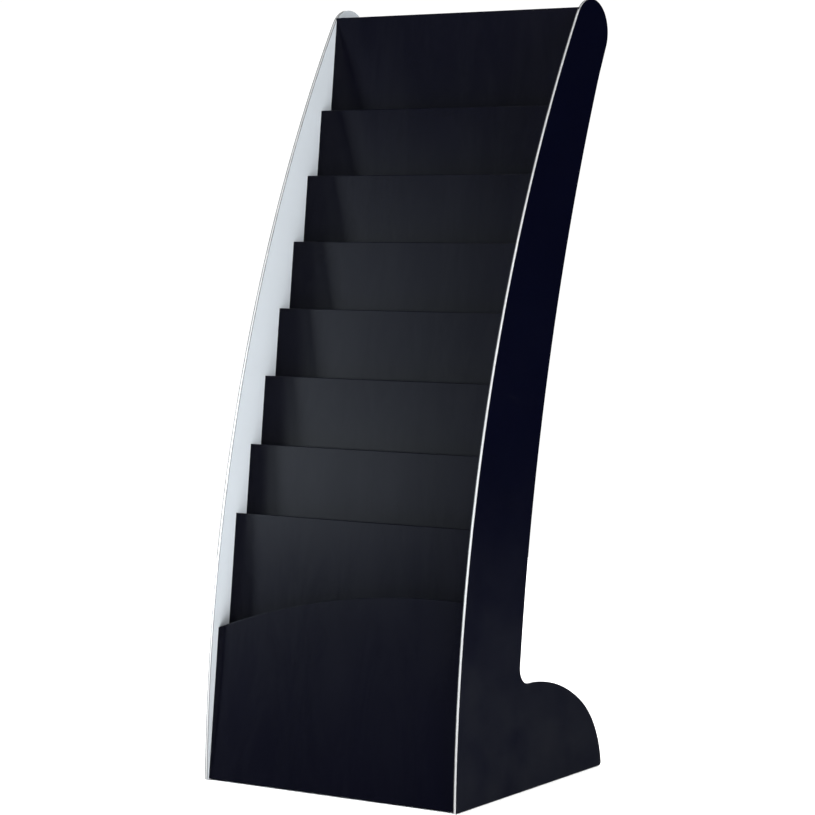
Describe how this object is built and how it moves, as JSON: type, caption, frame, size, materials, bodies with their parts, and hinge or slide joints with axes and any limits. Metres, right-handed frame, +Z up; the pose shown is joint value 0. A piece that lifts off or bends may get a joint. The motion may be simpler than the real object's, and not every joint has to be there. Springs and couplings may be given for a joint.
{
  "type": "brochure rack",
  "caption": "Floor-standing brochure rack: two curved side panels with rearward feet carry leaning, stepped literature pockets below a plain back panel, with an arched fascia in front.",
  "frame": {"origin": "Centre of the rack's footprint box on the floor, under the rubber pads", "axes": "+Z up, the open pockets face -Y, +X to the right when facing the same way as +Y"},
  "size_m": [0.438, 0.4236, 1.1499],
  "materials": {
    "silver_board": "smooth satin, through-coloured silver grey",
    "black_skin": "satin blue-black laminate",
    "black_sheet": "semi-gloss charcoal black sheet",
    "black_steel": "fine-textured black powder coat",
    "zinc_steel": "zinc-plated",
    "base_laminate": "black melamine over fibreboard",
    "pad_rubber": "matt black"
  },
  "bodies": {
    "root": {"left_board": "silver_board", "left_skin": "black_skin", "right_board": "silver_board", "right_skin": "black_skin", "back_panel": "black_sheet", "pocket_front_1": "black_sheet", "pocket_front_2": "black_sheet", "pocket_front_3": "black_sheet", "pocket_front_4": "black_sheet", "pocket_front_5": "black_sheet", "pocket_front_6": "black_sheet", "pocket_front_7": "black_sheet", "fascia": "black_sheet", "pocket_floor_1": "black_sheet", "pocket_floor_2": "black_sheet", "pocket_floor_3": "black_sheet", "pocket_floor_4": "black_sheet", "pocket_floor_5": "black_sheet", "pocket_floor_6": "black_sheet", "pocket_floor_7": "black_sheet", "pocket_floor_8": "black_sheet", "top_rail": "black_steel", "middle_rail": "black_steel", "lower_rail": "black_steel", "heel_rail": "black_steel", "base_panel": "base_laminate", "base_brackets": "black_steel", "board_inserts": "zinc_steel", "board_screws": "zinc_steel", "base_screws": "zinc_steel", "rubber_pads": "pad_rubber"}
  },
  "joints": []
}
